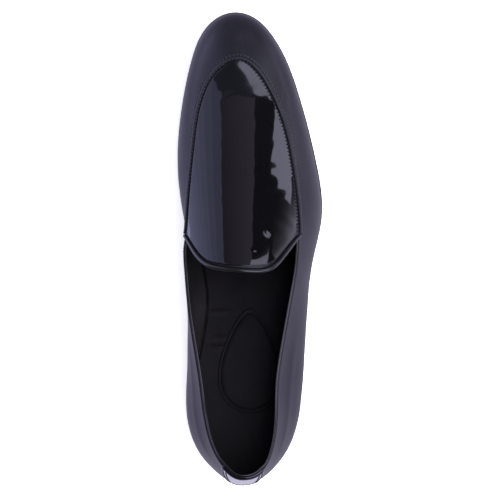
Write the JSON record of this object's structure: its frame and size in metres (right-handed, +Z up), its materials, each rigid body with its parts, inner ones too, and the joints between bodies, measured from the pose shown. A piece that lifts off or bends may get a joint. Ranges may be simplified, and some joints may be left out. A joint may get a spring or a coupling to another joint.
{
  "type": "slip-on dress shoe",
  "caption": "Black slip-on dress shoe for the right foot: patent apron with raised seam, bound throat and collar, patent heel tab, low moulded sole with sloping heel.",
  "frame": {"origin": "on the floor, under the middle of the shoe's bounding box", "axes": "+Y from heel to toe, +X to the outer (lateral) side of the right foot, +Z up from the floor"},
  "size_m": [0.0932, 0.3, 0.0859],
  "materials": {
    "calf": "satin smooth calf leather",
    "patent": "high-gloss patent leather",
    "rubber": "smooth moulded rubber",
    "lining": "matte lining leather"
  },
  "bodies": {
    "root": {"outsole": "rubber", "heel_lift": "rubber", "upper": "calf", "apron": "patent", "apron_seam": "calf", "throat_binding": "calf", "collar_binding": "calf", "heel_tab": "patent", "insole": "lining", "heel_sock": "lining"}
  },
  "joints": []
}
